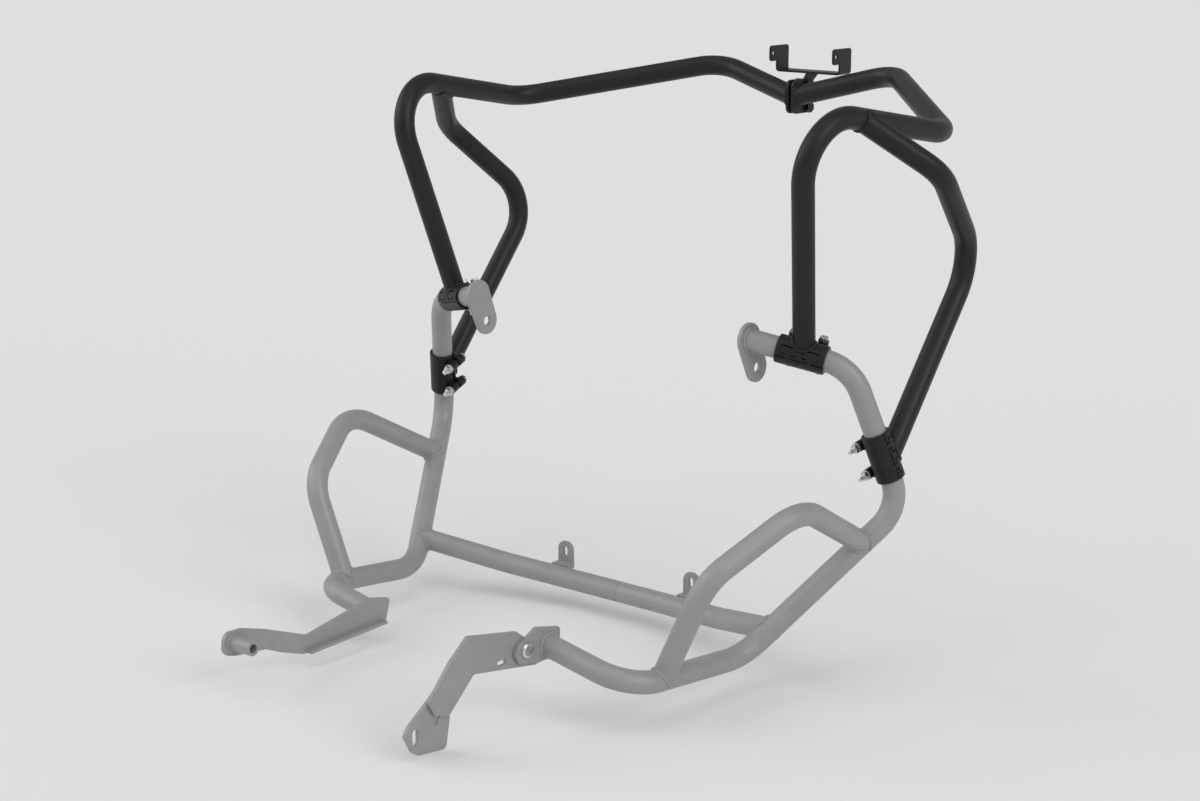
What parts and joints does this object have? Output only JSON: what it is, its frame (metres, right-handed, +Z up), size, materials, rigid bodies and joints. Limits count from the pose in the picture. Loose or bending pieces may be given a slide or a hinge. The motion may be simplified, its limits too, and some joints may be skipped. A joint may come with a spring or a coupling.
{
  "type": "motorcycle crash bars",
  "caption": "Tubular steel crash bars for a motorcycle: upper bars wrap the tank sides and clamp with bolted split clamps to lower bars that guard the engine and bolt to the frame.",
  "frame": {"origin": "on the centre plane, on the axis of the two upper frame bolts", "axes": "+X to the rider's right along the upper frame bolts, +Y forward, +Z up"},
  "size_m": [0.813, 0.9475, 0.7049],
  "materials": {
    "black_powder_coat": "matte",
    "grey_powder_coat": "matte",
    "black_zinc_steel": "satin",
    "zinc_plated_steel": "satin"
  },
  "bodies": {
    "root": {"cross_tube_left": "grey_powder_coat", "cross_tube_right": "grey_powder_coat", "cross_tube_sleeve": "grey_powder_coat", "cross_tube_tab_left": "grey_powder_coat", "cross_tube_tab_right": "grey_powder_coat", "crown_bolts": "black_zinc_steel", "crown_flange_left": "black_powder_coat", "crown_flange_right": "black_powder_coat", "crown_nuts": "black_zinc_steel", "frame_plate_left": "grey_powder_coat", "frame_plate_right": "grey_powder_coat", "lower_clamp_bolts_left": "zinc_plated_steel", "lower_clamp_bolts_right": "zinc_plated_steel", "lower_clamp_cap_left": "black_powder_coat", "lower_clamp_cap_right": "black_powder_coat", "lower_clamp_nuts_left": "zinc_plated_steel", "lower_clamp_nuts_right": "zinc_plated_steel", "lower_clamp_saddle_left": "black_powder_coat", "lower_clamp_saddle_right": "black_powder_coat", "lower_clamp_washers_left": "zinc_plated_steel", "lower_clamp_washers_right": "zinc_plated_steel", "lower_loop_left": "grey_powder_coat", "lower_loop_right": "grey_powder_coat", "lower_main_tube_left": "grey_powder_coat", "lower_main_tube_right": "grey_powder_coat", "rear_arm_bolt_right": "zinc_plated_steel", "rear_arm_end_plate_right": "grey_powder_coat", "rear_arm_left": "grey_powder_coat", "rear_arm_nut_right": "zinc_plated_steel", "rear_arm_right": "grey_powder_coat", "rear_bracket_right": "grey_powder_coat", "rear_spacer_left": "grey_powder_coat", "top_bracket": "black_powder_coat", "upper_bar_left": "black_powder_coat", "upper_bar_right": "black_powder_coat", "upper_brace_left": "black_powder_coat", "upper_brace_right": "black_powder_coat", "upper_clamp_bolts_left": "zinc_plated_steel", "upper_clamp_bolts_right": "zinc_plated_steel", "upper_clamp_cap_left": "black_powder_coat", "upper_clamp_cap_right": "black_powder_coat", "upper_clamp_nuts_left": "zinc_plated_steel", "upper_clamp_nuts_right": "zinc_plated_steel", "upper_clamp_saddle_left": "black_powder_coat", "upper_clamp_saddle_right": "black_powder_coat", "upper_clamp_washers_left": "zinc_plated_steel", "upper_clamp_washers_right": "zinc_plated_steel"}
  },
  "joints": []
}
